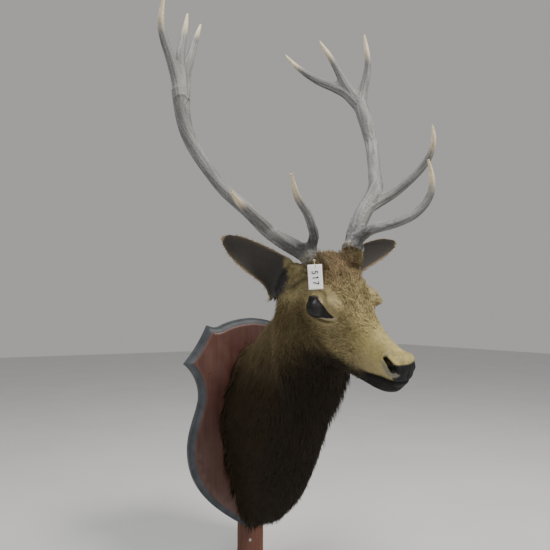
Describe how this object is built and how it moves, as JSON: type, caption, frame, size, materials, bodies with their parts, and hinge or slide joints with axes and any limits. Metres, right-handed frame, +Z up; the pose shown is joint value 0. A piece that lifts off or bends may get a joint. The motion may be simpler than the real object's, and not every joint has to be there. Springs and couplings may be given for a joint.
{
  "type": "red deer stag head mount",
  "caption": "Life-size red deer stag head and neck with branched antlers, mounted on a bevelled wooden shield that hangs on a wall.",
  "frame": {"origin": "on the wall's plane, in the middle of the shield's width, 309 mm below the shield's top point", "axes": "+Z up, +Y into the wall, +X towards the stag's left side; the stag looks out along -Y"},
  "size_m": [0.6592, 0.6814, 1.5002],
  "materials": {
    "tan_coat": "short tan hair, greyer on the nose",
    "dark_coat": "long dark brown mane",
    "ear_coat": "short hair, grey-brown inside with a pale rim",
    "dark_muzzle": "dark short hair and lip skin",
    "eye_glass": "dark glass eye, slightly dulled",
    "antler": "weathered antler bone, grey beams and cream tips",
    "burr_bone": "rough pale antler base",
    "red_wood": "satin red-brown stain with a worn slate-grey painted edge",
    "strip_wood": "plain stained softwood",
    "screw_steel": "zinc-plated",
    "tag_paper": "plain white card",
    "tie_string": "thin cotton string"
  },
  "bodies": {
    "root": {"head": "tan_coat", "muzzle": "tan_coat", "lower_jaw": "dark_muzzle", "neck": "dark_coat", "brisket": "dark_coat", "ear_left": "ear_coat", "ear_right": "ear_coat", "eye_left": "eye_glass", "eye_right": "eye_glass", "burr_left": "burr_bone", "beam_lower_left": "antler", "beam_upper_left": "antler", "brow_tine_left": "antler", "trez_tine_left": "antler", "crown_top_left": "antler", "crown_middle_left": "antler", "crown_rear_left": "antler", "burr_right": "burr_bone", "beam_lower_right": "antler", "beam_upper_right": "antler", "brow_tine_right": "antler", "trez_tine_right": "antler", "crown_top_right": "antler", "crown_middle_right": "antler", "crown_rear_right": "antler", "shield": "red_wood", "wall_strip": "strip_wood", "strip_screw": "screw_steel", "tag": "tag_paper", "tag_tie": "tie_string"}
  },
  "joints": []
}
